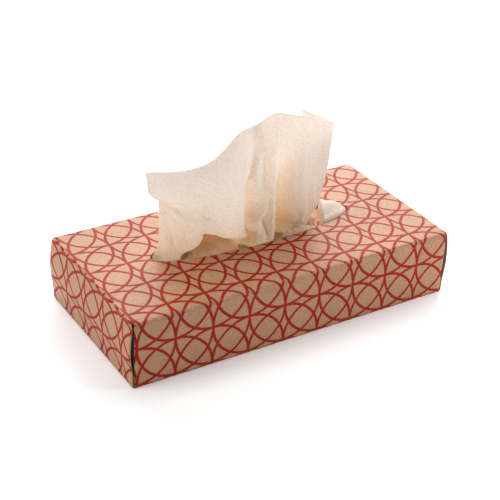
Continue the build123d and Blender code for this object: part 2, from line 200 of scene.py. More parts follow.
def crepedTissue(name, through, fold, paintedShadeStrength):
    # creped two-ply tissue: very matt, soft, lets light through, with fine crepe lines across the sheet
    look = tissueLook
    material, tree = newMaterial(name)
    uv = addNode(tree, "ShaderNodeUVMap", {"uv_map": "sheetMap"}).outputs[0]
    stretched = addNode(tree, "ShaderNodeMapping", Vector=uv,
                        Scale=(look["crepeStretch"] / look["crepePitch"], 1 / look["crepePitch"], 1)).outputs[0]
    noise = {}
    for part, vector, scale, detail, rough in (
            ("crepe", stretched, 1.0, 3.0, 0.55), ("pulp", uv, 0.32, 4.0, 0.6),
            ("mottle", uv, 0.8, 3.0, 0.7), ("flecks", uv, 1.7, 2.0, 0.5)):
        noise[part] = addNode(tree, "ShaderNodeTexNoise", Vector=vector, Scale=scale, Detail=detail,
                              Roughness=rough).outputs["Fac"]
    tone = addNode(tree, "ShaderNodeMapRange", Value=noise["pulp"], From_Min=0.3, From_Max=0.7,
                   To_Min=0.0, To_Max=0.22).outputs[0]
    mottle = addNode(tree, "ShaderNodeMapRange", Value=noise["mottle"], From_Min=0.3, From_Max=0.7,
                     To_Min=0.88, To_Max=1.07).outputs[0]
    fleck = addNode(tree, "ShaderNodeMapRange", Value=noise["flecks"], From_Min=0.70, From_Max=0.78,
                    To_Min=0.0, To_Max=0.30).outputs[0]
    # painted shade: a warm, darker tint mixed in where the sheet's attribute marks folds and low places
    inFold = addNode(tree, "ShaderNodeAttribute", {"attribute_name": "inFold"}).outputs["Fac"]
    paintedShadeShare = addNode(tree, "ShaderNodeMath", {"operation": "MULTIPLY"}, i0=inFold, i1=paintedShadeStrength).outputs[0]
    colour = addNode(tree, "ShaderNodeMix", {"data_type": "RGBA"}, i0=tone, i6=srgb(look["paper"]),
                     i7=srgb(look["deep"])).outputs[2]
    colour = addNode(tree, "ShaderNodeVectorMath", {"operation": "SCALE"}, i0=colour, Scale=mottle).outputs[0]
    for share, tint in ((paintedShadeShare, fold), (fleck, look["fleck"])):
        colour = addNode(tree, "ShaderNodeMix", {"data_type": "RGBA"}, i0=share, i6=colour,
                         i7=srgb(tint)).outputs[2]
    bump = addNode(tree, "ShaderNodeBump", Strength=0.55, Distance=0.0004, Height=noise["crepe"]).outputs[0]
    bump = addNode(tree, "ShaderNodeBump", Strength=0.8, Distance=0.0012, Height=noise["pulp"],
                   Normal=bump).outputs[0]
    face = addNode(tree, "ShaderNodeBsdfPrincipled", Base_Color=colour, Roughness=0.93, Specular_IOR_Level=0.12,
                   Sheen_Weight=0.15, Sheen_Roughness=0.5, Normal=bump)
    # the light let through carries the same painted shade
    passed = addNode(tree, "ShaderNodeMix", {"data_type": "RGBA"}, i0=paintedShadeShare, i6=srgb(look["deep"]),
                     i7=srgb(fold)).outputs[2]
    passed = addNode(tree, "ShaderNodeVectorMath", {"operation": "SCALE"}, i0=passed, Scale=mottle).outputs[0]
    glow = addNode(tree, "ShaderNodeBsdfTranslucent", Color=passed, Normal=bump)
    both = addNode(tree, "ShaderNodeMixShader", i0=through, i1=face.outputs[0], i2=glow.outputs[0])
    addNode(tree, "ShaderNodeOutputMaterial", Surface=both.outputs[0])
    return material


printed = printedKraftBoard()
innerBoard = plainKraftBoard("kraftBoardInside", kraftPrint["inner"], kraftPrint["innerFibres"])
# board painted dark as shade, for the inner and dust flaps that show only in the slits and at the slot's ends
slitShadeBoard = plainKraftBoard("kraftBoardInSlit", kraftPrint["slitShade"], kraftPrint["innerFibres"])
rawEdge = plainKraftBoard("kraftBoardEdge", kraftPrint["edge"], kraftPrint["edgeFibres"])
tissuePaper = crepedTissue("crepedTissue", tissueLook["through"], tissueLook["fold"], tissueLook["paintedShadeStrength"])
lyingPaper = crepedTissue("crepedTissueLying", tissueLook["throughLying"], tissueLook["foldLying"],
                          tissueLook["paintedShadeStrengthLying"])
print("materials made")


def newPiece(name, points, faces, materials, faceMaterials=None):
    mesh = bpy.data.meshes.new(name)
    mesh.from_pydata([tuple(p) for p in points], [], faces)
    piece = bpy.data.objects.new(name, mesh)
    bpy.context.scene.collection.objects.link(piece)
    for material in materials:
        mesh.materials.append(material)
    if faceMaterials is not None:
        mesh.polygons.foreach_set("material_index", np.array(faceMaterials, np.int32))
    mesh.polygons.foreach_set("use_smooth", np.ones(len(mesh.polygons), bool))
    mesh.update()
    return piece


def applyModifiers(piece):
    depsgraph = bpy.context.evaluated_depsgraph_get()
    baked = bpy.data.meshes.new_from_object(piece.evaluated_get(depsgraph), depsgraph=depsgraph)
    piece.modifiers.clear()
    old = piece.data
    piece.data = baked
    baked.name = old.name
    bpy.data.meshes.remove(old)
    return piece


def setUv(mesh, name, values):
    # values: one (u, v) for each face corner
    layer = mesh.uv_layers.get(name) or mesh.uv_layers.new(name=name)
    layer.data.foreach_set("uv", np.asarray(values, np.float32).reshape(-1))


def cornerPoints(mesh):
    index = np.zeros(len(mesh.loops), np.int32)
    mesh.loops.foreach_get("vertex_index", index)
    co = np.zeros(len(mesh.vertices) * 3)
    mesh.vertices.foreach_get("co", co)
    return co.reshape(-1, 3)[index], index


cartonSize = {
    "length": 230.0, "width": 114.0, "height": 45.0, "board": 0.5, "crown": 1.2,
    "topFold": 2.4, "bottomFold": 1.2, "endFold": 1.4, "dustFold": 1.0, "land": 1.0,
    "sideGap": 0.7, "footGap": 0.8, "bow": 1.5, "glueLine": 8.0, "glueFlap": 15.0, "seamGap": 0.3,
    "bottomFlap": 38.0, "dustFlap": 50.0, "dustTaper": 6.0, "dustClearance": 0.6, "layerGap": 0.1,
    "hairGap": 0.05, "innerFoot": 2.0, "dustLand": 0.6,
    "panelBow": 0.25, "unevenness": 0.10, "flapWave": 0.12, "flapWaveRun": 8.0,
    "flapRun": 4.0,           # height over which the end flaps reach their full width
    "cornerInset": 0.8,       # how far short of the end folds the long panels turn into the dust flaps
    "insetRun": 1.2,          # height over which they do
}
boardSteps = {"topFold": 7, "lowFold": 5, "endFold": 6, "panel": 12, "glueFlap": 3, "bow": 16, "foot": 4}
slotSize = {
    "length": 147.0, "width": 33.0, "shiftX": 1.5, "shiftY": 2.5, "tear": 0.12,
    "around": 396, "rings": 14, "ringPower": 1.35,    # over 1 to bring the rings together near the slot
}
# where the print's lattice falls on each panel, in mm
printPlace = {
    "firstColumn": 2.42, "firstRow": 1.28, "frontRow": 17.61, "endColumn": -0.44, "endRow": 2.0,
    "blendTop": 13.0, "blendFront": 14.0,
}


def uneven(x, y, phase=0.0):
    # slow waves that a board panel always has, from -1 to 1
    crossed = math.sin(x * 0.043 + phase) * math.sin(y * 0.061 + 1.3 + phase)
    slanted = math.sin(x * 0.11 + y * 0.07 + 2.1 * phase)
    return (crossed + 0.5 * slanted) / 1.5


def topHeight(x, y):
    c = cartonSize
    u = min(abs(x) / (c["length"] / 2 - c["endFold"]), 1)
    v = min(abs(y) / (c["width"] / 2 - c["topFold"]), 1)
    rise = c["crown"] * (1 - u * u) * (1 - v * v)
    return c["height"] + rise + c["unevenness"] * uneven(x, y) * (1 - u ** 4) * (1 - v ** 4)


def arcPoints(centre, radius, startAngle, endAngle, steps):
    return [(centre[0] + radius * math.cos(a), centre[1] + radius * math.sin(a))
            for a in (startAngle + (endAngle - startAngle) * k / steps for k in range(steps + 1))]


def straightPoints(start, end, steps):
    # even steps from start to end, without the start itself
    return [(start[0] + (end[0] - start[0]) * k / steps, start[1] + (end[1] - start[1]) * k / steps)
            for k in range(1, steps + 1)]


def evenEllipse(a, b, count):
    fine = np.linspace(0, 2 * math.pi, 8001)
    points = np.stack([a * np.cos(fine), b * np.sin(fine)], 1)
    run = np.concatenate([[0], np.cumsum(np.linalg.norm(np.diff(points, axis=0), axis=1))])
    return np.interp(np.arange(count) / count * run[-1], run, fine)


class Skin:
    # outer faces of the board, in mm, with shared vertices
    def __init__(self):
        self.points, self.faces, self.panels = [], [], []

    def add(self, x, y, z):
        self.points.append((x, y, z))
        return len(self.points) - 1

    def strip(self, rows, panel, flip=False, closed=False):
        for low, high in zip(rows, rows[1:]):
            last = len(low) if closed else len(low) - 1
            for k in range(last):
                n = (k + 1) % len(low)
                face = (low[k], low[n], high[n], high[k])
                self.faces.append(face[::-1] if flip else face)
                self.panels.append(panel)


def cartonSkin():
    c, s, steps = cartonSize, slotSize, boardSteps
    skin = Skin()
    xIn, yIn = c["length"] / 2 - c["endFold"], c["width"] / 2 - c["topFold"]
    rng = np.random.default_rng(7)
    turns = evenEllipse(s["length"] / 2, s["width"] / 2, s["around"])
    tear = rng.normal(0, 1, s["around"])
    tear = (tear + np.roll(tear, 1) + np.roll(tear, 2)) / 3 * s["tear"]
    inner, outer = [], []
    for t, rough in zip(turns, tear):
        x, y = (s["length"] / 2 + rough) * math.cos(t), (s["width"] / 2 + rough) * math.sin(t)
        inner.append((x + s["shiftX"], y + s["shiftY"]))
        # where the line from the slot's middle meets the edge of the flat panel
        reachX = ((xIn if x > 0 else -xIn) - s["shiftX"]) / x if abs(x) > 1e-9 else 1e9
        reachY = ((yIn if y > 0 else -yIn) - s["shiftY"]) / y if abs(y) > 1e-9 else 1e9
        reach = min(reachX, reachY)
        outer.append([s["shiftX"] + x * reach, s["shiftY"] + y * reach])
    corners = []
    for cx, cy in ((-xIn, -yIn), (xIn, -yIn), (xIn, yIn), (-xIn, yIn)):
        k = min(range(len(outer)), key=lambda i: math.hypot(outer[i][0] - cx, outer[i][1] - cy))
        outer[k] = [cx, cy]
        corners.append(k)
    rings = []
    for r in range(s["rings"] + 1):
        share = (r / s["rings"]) ** s["ringPower"]
        ring = []
        for (xa, ya), (xb, yb) in zip(inner, outer):
            x, y = xa + (xb - xa) * share, ya + (yb - ya) * share
            ring.append(skin.add(x, y, topHeight(x, y)))
        rings.append(ring)
    skin.strip(rings, "top", closed=True, flip=True)
    rim = rings[-1]

    def edgeRun(k0, k1):
        run = [k0]
        while run[-1] != k1:
            run.append((run[-1] + 1) % len(rim))
        return run

    front, right = edgeRun(corners[0], corners[1]), edgeRun(corners[1], corners[2])
    back, left = edgeRun(corners[2], corners[3]), edgeRun(corners[3], corners[0])
    h, half = c["height"], c["width"] / 2

    def shortened(z):
        inset = c["cornerInset"] * min(max(min(h - z, z + c["insetRun"] / 2) / c["insetRun"], 0), 1)
        return 1 - inset / xIn

    # front: fold, panel, bottom fold, bottom, and the glue flap inside the back
    tf, bf, inside = c["topFold"], c["bottomFold"], half - c["board"] - c["hairGap"]
    path = arcPoints((-half + tf, h - tf), tf, math.pi / 2, math.pi, steps["topFold"])[1:]
    path += straightPoints((-half, h - tf), (-half, bf), steps["panel"])
    path += arcPoints((-half + bf, bf), bf, math.pi, 1.5 * math.pi, steps["lowFold"])[1:]
    path += straightPoints((-half + bf, 0.0), (inside - bf, 0.0), steps["panel"])
    path += arcPoints((inside - bf, bf), bf, 1.5 * math.pi, 2 * math.pi, steps["lowFold"])[1:]
    path += straightPoints((inside, bf), (inside, c["glueFlap"]), steps["glueFlap"])
    rows = [[rim[k] for k in front]]
    xs = [outer[k][0] for k in front]
    for y, z in path:
        bow = c["panelBow"] * math.sin(math.pi * min(max(z / h, 0), 1)) if y < -half + 0.01 else 0
        narrow = shortened(z) if y < 0 else 1
        rows.append([skin.add(x * narrow, y - bow * (1 - (x / xIn) ** 4), z) for x in xs])
    skin.strip(rows, "front", flip=True)
    # back: fold and panel, with its raw edge just off the ground
    path = arcPoints((half - tf, h - tf), tf, math.pi / 2, 0, steps["topFold"])[1:]
    path += straightPoints((half, h - tf), (half, c["seamGap"]), steps["panel"])
    rows = [[rim[k] for k in back]]
    xs = [outer[k][0] for k in back]
    for y, z in path:
        rows.append([skin.add(x * shortened(z), y, z) for x in xs])
    skin.strip(rows, "back", flip=True)
    # outer end flaps: fold, bowed face and foot
    end, flapHalf = c["length"] / 2, c["width"] / 2 - c["sideGap"]
    zLand, zGlue = h - c["endFold"] - c["land"], c["glueLine"]
    for run, side in ((left, -1), (right, 1)):
        path = arcPoints((xIn, h - c["endFold"]), c["endFold"], math.pi / 2, 0, steps["endFold"])[1:]
        path += [(end, zLand)]
        for k in range(1, steps["bow"] + 1):
            share = k / steps["bow"]
            path.append((end + c["bow"] * math.sin(math.pi * share), zLand + (zGlue - zLand) * share))
        path += straightPoints((end, zGlue), (end, c["footGap"]), steps["foot"])
        rows = [[rim[k] for k in run]]
        for x, z in path:
            spread = min((h - z) / c["flapRun"], 1)
            wave = c["flapWave"] * min((h - z) / c["flapWaveRun"], 1)
            ys = [outer[k][1] * (1 + (flapHalf / yIn - 1) * spread) for k in run]
            rows.append([skin.add(side * (x + wave * uneven(y, z * 2, side)), y, z) for y in ys])
        skin.strip(rows, "end", flip=True)
    return skin


def boardPlates():
    # inner end flaps and dust flaps: closed strips of board behind the outer flaps
    c, steps = cartonSize, boardSteps
    points, faces, outer = [], [], []

    def plate(outline, depth, place, printedRun=0):
        # outline: closed 2-D loop; depth: two values along the third axis; printedRun: its first printed faces
        start, n = len(points), len(outline)
        outer.extend(range(len(faces), len(faces) + printedRun))
        for d in depth:
            points.extend(place(u, v, d) for u, v in outline)
        half = n // 2
        for k in range(n):
            faces.append((start + k, start + (k + 1) % n, start + n + (k + 1) % n, start + n + k))
        for layer, turned in ((0, True), (n, False)):
            for k in range(half - 1):
                quad = [start + layer + corner for corner in (k, k + 1, n - 2 - k, n - 1 - k)]
                faces.append(tuple(quad[::-1] if turned else quad))

    def loop(line, shift):
        # offset a run of points to one side by the board's thickness
        result = []
        for k, p in enumerate(line):
            a, b = line[max(k - 1, 0)], line[min(k + 1, len(line) - 1)]
            length = math.hypot(b[0] - a[0], b[1] - a[1])
            result.append((p[0] - (b[1] - a[1]) / length * shift, p[1] + (b[0] - a[0]) / length * shift))
        return line + result[::-1]

    h, half, board = c["height"], c["width"] / 2, c["board"]
    zLow, zHigh = board + c["dustClearance"], h - board - c["dustClearance"]
    for side in (-1, 1):
        # inner flap, hinged on the bottom
        xFold, r = c["length"] / 2 - board - c["layerGap"], c["bottomFold"]
        line = [(xFold, c["bottomFlap"])]
        line += straightPoints((xFold, c["bottomFlap"]), (xFold, r), 6)
        line += arcPoints((xFold - r, r), r, 0, -math.pi / 2, steps["lowFold"])[1:]
        line += [(c["length"] / 2 - c["endFold"] - c["innerFoot"], 0.0)]
        width = half - c["sideGap"]
        plate(loop(line, -board), (-width, width), lambda u, v, d, s=side: (s * u, d, v))
        # dust flaps, hinged on the front and back panels
        xFold, r = xFold - board - c["layerGap"], c["dustFold"]
        for back in (-1, 1):
            line = [(xFold - r - c["hairGap"], half)]
            line += arcPoints((xFold - r, half - r), r, math.pi / 2, 0, steps["endFold"])
            line += [(xFold, half - r - c["dustLand"])]
            plate(loop(line, -board), (zLow, zHigh), lambda u, v, d, s=side, b=back: (s * u, b * v, d),
                  printedRun=len(line) - 1)
            yLand, yTip, taper = half - r, half - c["dustFlap"], c["dustTaper"]
            shape = [(yLand, zLow), (yTip, zLow + taper), (yTip, zHigh - taper), (yLand, zHigh)]
            plate(shape, (xFold - board, xFold), lambda u, v, d, s=side, b=back: (s * d, b * u, v))
    return points, faces, outer


def printRun(run):
    # the front's rows fall at a place of their own, so the print stretches a little on both sides of the fold
    c, pp = cartonSize, printPlace
    r = c["topFold"]
    low, high = c["width"] - pp["blendTop"], (c["width"] - r) + r * math.pi / 2 + (pp["blendFront"] - r)
    atHigh = 5 * kraftPrint["pitch"] + pp["firstRow"] - pp["frontRow"] + pp["blendFront"]
    if run <= low:
        return run
    if run >= high:
        return atHigh + (run - high)
    return low + (atHigh - low) * (run - low) / (high - low)


def unrolled(y, z):
    # distance along the board from the top panel's back edge, over the front fold and on to the bottom
    c = cartonSize
    half, h, r = c["width"] / 2, c["height"], c["topFold"]
    run = c["width"] - r
    if z > h - r and y <= -half + r:
        return printRun(run + r * abs(math.atan2(y + half - r, z - h + r)))
    if y <= -half + r and z > c["bottomFold"]:
        return printRun(run + r * math.pi / 2 + (h - r - z))
    return printRun(run + r * math.pi / 2 + (h - r) + (y + half))


# how far from each fold the print is rubbed, in mm, and round the slot as a share of its size
wear = {"endFold": 1.4, "endIn": 0.5, "longFold": 1.3, "longIn": 0.9, "foot": 2.2, "lipShare": 1 / 60}


def dressCarton():
    c, pp, slot = cartonSize, printPlace, slotSize
    skin = cartonSkin()
    outside = newPiece("cartonBoard", [(x * mm, y * mm, z * mm) for x, y, z in skin.points], skin.faces,
                       [printed, innerBoard, rawEdge])
    mesh = outside.data
    half, h, pitch = c["width"] / 2, c["height"], kraftPrint["pitch"]
    points, _ = cornerPoints(mesh)
    points = points / mm
    uv, corner = [], 0
    for polygon, panel in zip(mesh.polygons, skin.panels):
        for _ in range(polygon.loop_total):
            x, y, z = points[corner]
            u = (x + c["length"] / 2 - pp["firstColumn"]) / pitch
            if panel == "top":
                v = printRun(half - y)
            elif panel == "front":
                v = unrolled(y, z)
            elif panel == "back":
                v = -(h - z)
            else:
                u, v = (half - y - pp["endColumn"]) / pitch, (h - z - pp["endRow"]) + pp["firstRow"]
            uv.append((u, (v - pp["firstRow"]) / pitch))
            corner += 1
    setUv(mesh, "printMap", uv)
    rubbed = mesh.attributes.new("foldWear", "FLOAT", "POINT")
    values = []
    for x, y, z in skin.points:
        ends = lip = 0.0
        if z > h - c["topFold"]:
            ends = 1 - abs(abs(x) - c["length"] / 2 + wear["endIn"]) / wear["endFold"]
        if z > h - c["board"]:
            across, back = (x - slot["shiftX"]) / slot["length"], (y - slot["shiftY"]) / slot["width"]
            lip = 1 - (math.hypot(across, back) - 0.5) / wear["lipShare"]
        sides = 1 - abs(math.hypot(abs(y) - half, z - h) - wear["longIn"]) / wear["longFold"]
        lows = 1 - math.hypot(abs(y) - half, z) / wear["foot"]
        values.append(max(ends, sides, lows, lip, 0.0))
    rubbed.data.foreach_set("value", np.array(values, np.float32))
    solid = outside.modifiers.new("board", "SOLIDIFY")
    solid.thickness = c["board"] * mm
    solid.offset = -1.0
    solid.use_even_offset = True
    solid.material_offset = 1
    solid.material_offset_rim = 2
    applyModifiers(outside)
    points, faces, outer = boardPlates()
    # faces that aren't printed get the board painted dark as shade
    finish = [1 if k in set(outer) else 0 for k in range(len(faces))]
    plates = newPiece("endPlates", [(x * mm, y * mm, z * mm) for x, y, z in points], faces,
                      [slitShadeBoard, printed], finish)
    plates.data.polygons.foreach_set("use_smooth", np.array(finish, bool))
    work = bmesh.new()
    work.from_mesh(plates.data)
    bmesh.ops.recalc_face_normals(work, faces=work.faces)
    work.to_mesh(plates.data)
    work.free()
    points, _ = cornerPoints(plates.data)
    uv = []
    for x, y, z in points / mm:
        # the print runs on round the fold
        u = math.copysign(abs(x) + (half - abs(y)) * (math.pi / 2 - 1), x)
        v = unrolled(-half, z) if y < 0 else -(h - z)
        uv.append(((u + c["length"] / 2 - pp["firstColumn"]) / pitch, (v - pp["firstRow"]) / pitch))
    setUv(plates.data, "printMap", uv)
    return outside, plates


cartonBoard, endPlates = dressCarton()
print("carton board folded")


def smoothThrough(points, steps):
    # a smooth line through points along the first axis, with so many steps from each to the next
    points = np.asarray(points, float)
    padded = np.concatenate([[2 * points[0] - points[1]], points, [2 * points[-1] - points[-2]]])
    result = []
    for k, count in enumerate(steps):
        a, b, c, d = padded[k:k + 4]
        for j in range(count):
            t = j / count
            bent, turned = (2 * a - 5 * b + 4 * c - d) * t * t, (3 * b - a - 3 * c + d) * t ** 3
            result.append(0.5 * (2 * b + (c - a) * t + bent + turned))
    result.append(points[-1])
    return np.array(result)


def softNoise(shape, spacing, seed):
    # smooth random field over a grid: random values every few rows and columns, eased between
    rng = np.random.default_rng(seed)
    rows, columns = shape
    coarse = rng.uniform(-1, 1, (int(rows / spacing[0]) + 3, int(columns / spacing[1]) + 3))
    r, c = np.arange(rows) / spacing[0], np.arange(columns) / spacing[1]
    r0, c0 = r.astype(int), c.astype(int)
    fr, fc = r - r0, c - c0
    fr, fc = fr * fr * (3 - 2 * fr), fc * fc * (3 - 2 * fc)
    top = coarse[np.ix_(r0, c0)] * (1 - fc) + coarse[np.ix_(r0, c0 + 1)] * fc
    low = coarse[np.ix_(r0 + 1, c0)] * (1 - fc) + coarse[np.ix_(r0 + 1, c0 + 1)] * fc
    return top * (1 - fr[:, None]) + low * fr[:, None]


def noiseSum(shape, layers):
    # layers: share, spacing in rows and columns, seed
    return sum(share * softNoise(shape, spacing, seed) for share, spacing, seed in layers)


def eased(share):
    share = np.clip(share, 0, 1)
    return share * share * (3 - 2 * share)


def gridNormals(grid):
    across = np.gradient(grid, axis=1)
    along = np.gradient(grid, axis=0)
    normal = np.cross(across, along)
    return normal / np.maximum(np.linalg.norm(normal, axis=2, keepdims=True), 1e-9)


def relaxSheet(grid, columnWidths, rowHeights, hold, settings):
    # paper doesn't stretch: points move until neighbours are as far apart as on the flat sheet,
    # while each is pulled back towards its designed place by its hold
    x, design = grid.copy(), grid.copy()
    flat = settings["flatShare"]
    # as designed: along each row and column, and across each cell both ways
    wide, high, rising, falling = (
        np.linalg.norm(gap, axis=2, keepdims=True)
        for gap in (np.diff(x, axis=1), np.diff(x, axis=0), x[1:, 1:] - x[:-1, :-1], x[1:, :-1] - x[:-1, 1:]))
    wide = columnWidths[None, :, None] * flat + (1 - flat) * wide
    high = rowHeights[:, None, None] * flat + (1 - flat) * high

    def settle(a, b, rest, stiffness):
        gap = b - a
        length = np.maximum(np.linalg.norm(gap, axis=2, keepdims=True), 1e-9)
        move = gap * ((length - rest) / length * 0.5 * stiffness)
        a += move
        b -= move

    for _ in range(settings["rounds"]):
        for s in (0, 1):
            n = (x.shape[1] - 1 - s) // 2 * 2
            settle(x[:, s:s + n:2], x[:, s + 1:s + n + 1:2], wide[:, s:s + n:2], settings["across"])
            n = (x.shape[0] - 1 - s) // 2 * 2
            settle(x[s:s + n:2], x[s + 1:s + n + 1:2], high[s:s + n:2], settings["along"])
        for dr in (0, 1):
            for dc in (0, 1):
                nr, nc = (x.shape[0] - 1 - dr) // 2 * 2, (x.shape[1] - 1 - dc) // 2 * 2
                settle(x[dr:dr + nr:2, dc:dc + nc:2], x[dr + 1:dr + nr + 1:2, dc + 1:dc + nc + 1:2],
                       rising[dr:dr + nr:2, dc:dc + nc:2], settings["shear"])
                settle(x[dr:dr + nr:2, dc + 1:dc + nc + 1:2], x[dr + 1:dr + nr + 1:2, dc:dc + nc:2],
                       falling[dr:dr + nr:2, dc:dc + nc:2], settings["shear"])
        # stiffness against bending: each point eases towards the middle of its neighbours
        bend = settings["bending"]
        x[:, 1:-1] += bend * ((x[:, :-2] + x[:, 2:]) / 2 - x[:, 1:-1])
        x[1:-1] += bend * ((x[:-2] + x[2:]) / 2 - x[1:-1])
        x += hold * (design - x)
    return x


def creased(grid, across, along, creases):
    # each crease moves the sheet along its normal, towards the front where its depth is positive
    u, v = np.meshgrid(across, along)
    shift = np.zeros(u.shape)
    for depth, width, line in creases:
        nearest = np.full(u.shape, 1e9)
        for (ua, va), (ub, vb) in zip(line, line[1:]):
            share = ((u - ua) * (ub - ua) + (v - va) * (vb - va)) / ((ub - ua) ** 2 + (vb - va) ** 2)
            share = np.clip(share, 0, 1)
            nearest = np.minimum(nearest, np.hypot(u - ua - share * (ub - ua), v - va - share * (vb - va)))
        shift += depth * np.exp(-(nearest / width) ** 2)
    normals = gridNormals(grid)
    normals = normals * np.where(normals[..., 1:2] > 0, -1, 1)
    return grid + normals * shift[..., None]


def hollowShade(grid, reaches=(4, 8)):
    # how deep each point lies in a fold, from 0 to 1: the share of painted shade, warm where paper lights paper
    normals = gridNormals(grid)
    normals = normals * np.where(normals[..., 1:2] > 0, -1, 1)
    total = np.zeros(grid.shape[:2])
    for reach in reaches:
        padded = np.pad(grid, ((0, 0), (reach, reach), (0, 0)), mode="edge")
        middle = (padded[:, :-2 * reach] + padded[:, 2 * reach:]) / 2
        total += np.einsum("rck,rck->rc", middle - grid, normals) / (0.30 * reach)
    total = np.clip(total, 0, 1)
    for _ in range(3):
        total[:, 1:-1] = (total[:, :-2] + 2 * total[:, 1:-1] + total[:, 2:]) / 4
        total[1:-1] = (total[:-2] + 2 * total[1:-1] + total[2:]) / 4
    return total


def sheetPiece(name, grid, across, along, thickness, inFold, paper):
    rows, columns = grid.shape[:2]
    index = np.arange(rows * columns).reshape(rows, columns)
    faces = np.stack([index[:-1, :-1], index[:-1, 1:], index[1:, 1:], index[1:, :-1]], -1).reshape(-1, 4)
    piece = newPiece(name, (grid * mm).reshape(-1, 3), faces.tolist(), [paper])
    uv = np.stack(np.meshgrid(across, along), -1).reshape(-1, 2)
    _, corners = cornerPoints(piece.data)
    setUv(piece.data, "sheetMap", uv[corners])
    warm = piece.data.attributes.new("inFold", "FLOAT", "POINT")
    warm.data.foreach_set("value", inFold.astype(np.float32).ravel())
    solid = piece.modifiers.new("plies", "SOLIDIFY")
    solid.thickness = thickness * mm
    solid.offset = 0.0
    applyModifiers(piece)
    piece.data.polygons.foreach_set("use_smooth", np.ones(len(piece.data.polygons), bool))
    return piece


